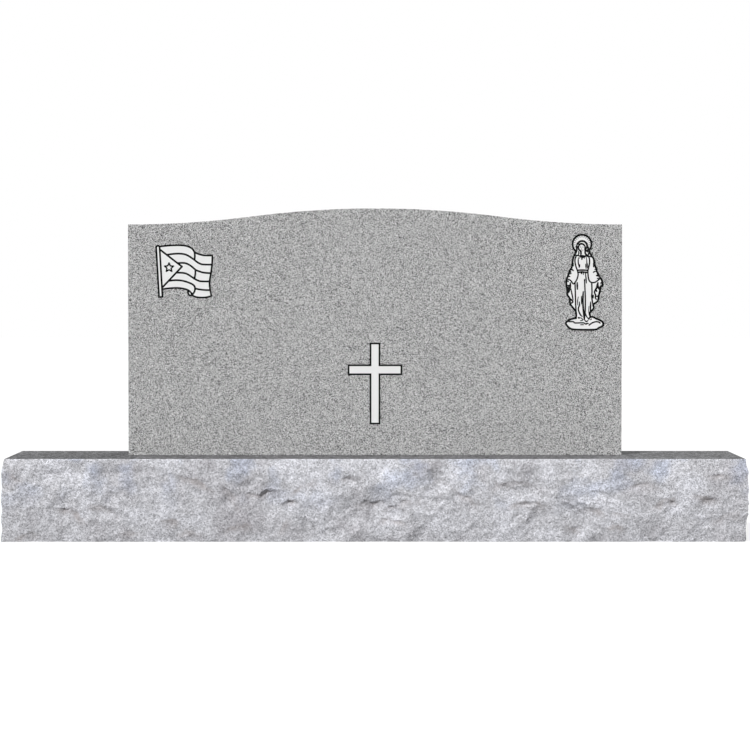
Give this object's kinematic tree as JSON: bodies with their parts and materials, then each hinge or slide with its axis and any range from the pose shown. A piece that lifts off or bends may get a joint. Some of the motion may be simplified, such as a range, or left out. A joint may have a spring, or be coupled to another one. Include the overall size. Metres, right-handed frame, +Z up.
{
  "type": "serpentine-top headstone",
  "caption": "Upright grey granite headstone: a wide tablet with a serpentine top, carved with a flag, a robed figure and a plain cross, on a long rock-pitched base.",
  "frame": {"origin": "middle of the base's underside, on the ground", "axes": "+X along the stone, to the right as seen from its carved front; -Y towards the viewer of that front; +Z up"},
  "size_m": [1.806, 0.3556, 0.8096],
  "materials": {
    "base_granite": "grey granite, rock-pitched sides and a smooth darker top",
    "tablet_granite": "grey granite, fine steeled face",
    "frosted_paint": "blasted panel with matt near-white paint",
    "black_paint": "blasted groove with matt black paint"
  },
  "bodies": {
    "root": {"base": "base_granite", "tablet": "tablet_granite"}
  },
  "joints": []
}
